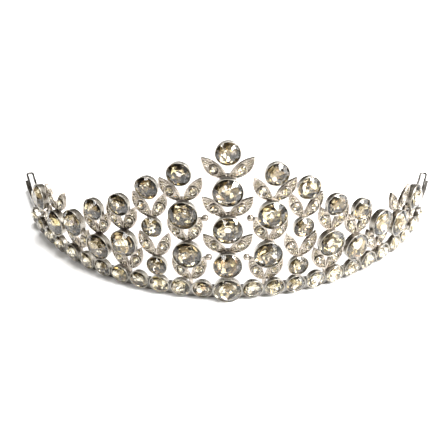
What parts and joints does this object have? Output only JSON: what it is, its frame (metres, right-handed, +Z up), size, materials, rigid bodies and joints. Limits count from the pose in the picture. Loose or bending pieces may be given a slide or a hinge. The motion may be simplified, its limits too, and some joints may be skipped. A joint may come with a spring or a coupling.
{
  "type": "bridal tiara",
  "caption": "Curved bridal tiara with fanned columns of round foil-backed stones in cups, leaf pairs between them, a row of smaller stones on a band and a ribbon loop at each end.",
  "frame": {"origin": "centre of the bounding box, at the height of the flat underside of the band", "axes": "+X to the right as the tiara is looked at from its front, along its longest extent; +Y towards the back, where the end loops are; +Z up. The front faces -Y."},
  "size_m": [0.1568, 0.0756, 0.0534],
  "materials": {
    "band_metal": "satin rhodium plate",
    "cup_metal": "polished rhodium plate",
    "leaf_metal": "polished rhodium plate",
    "crystal": "faceted, foil backed",
    "small_crystal": "faceted, foil backed"
  },
  "bodies": {
    "root": {"base_band": "band_metal", "end_loop_left": "band_metal", "end_loop_right": "band_metal", "row_cups": "cup_metal", "row_stones": "crystal", "centre_row_cup": "cup_metal", "centre_row_stone": "crystal", "link_beads": "leaf_metal", "accent_stones": "small_crystal", "pave_stones": "small_crystal", "centre_cups": "cup_metal", "centre_leaves": "leaf_metal", "centre_stones": "crystal", "left_1_cups": "cup_metal", "left_1_leaves": "leaf_metal", "left_1_stones": "crystal", "left_2_cups": "cup_metal", "left_2_leaves": "leaf_metal", "left_2_stones": "crystal", "left_3_cups": "cup_metal", "left_3_leaves": "leaf_metal", "left_3_stones": "crystal", "left_4_cups": "cup_metal", "left_4_leaves": "leaf_metal", "left_4_stones": "crystal", "left_5_cups": "cup_metal", "left_5_leaves": "leaf_metal", "left_5_stones": "crystal", "left_6_cups": "cup_metal", "left_6_leaves": "leaf_metal", "left_6_stones": "crystal", "left_7_cups": "cup_metal", "left_7_leaves": "leaf_metal", "left_7_stones": "crystal", "right_1_cups": "cup_metal", "right_1_leaves": "leaf_metal", "right_1_stones": "crystal", "right_2_cups": "cup_metal", "right_2_leaves": "leaf_metal", "right_2_stones": "crystal", "right_3_cups": "cup_metal", "right_3_leaves": "leaf_metal", "right_3_stones": "crystal", "right_4_cups": "cup_metal", "right_4_leaves": "leaf_metal", "right_4_stones": "crystal", "right_5_cups": "cup_metal", "right_5_leaves": "leaf_metal", "right_5_stones": "crystal", "right_6_cups": "cup_metal", "right_6_leaves": "leaf_metal", "right_6_stones": "crystal", "right_7_cups": "cup_metal", "right_7_leaves": "leaf_metal", "right_7_stones": "crystal"}
  },
  "joints": []
}
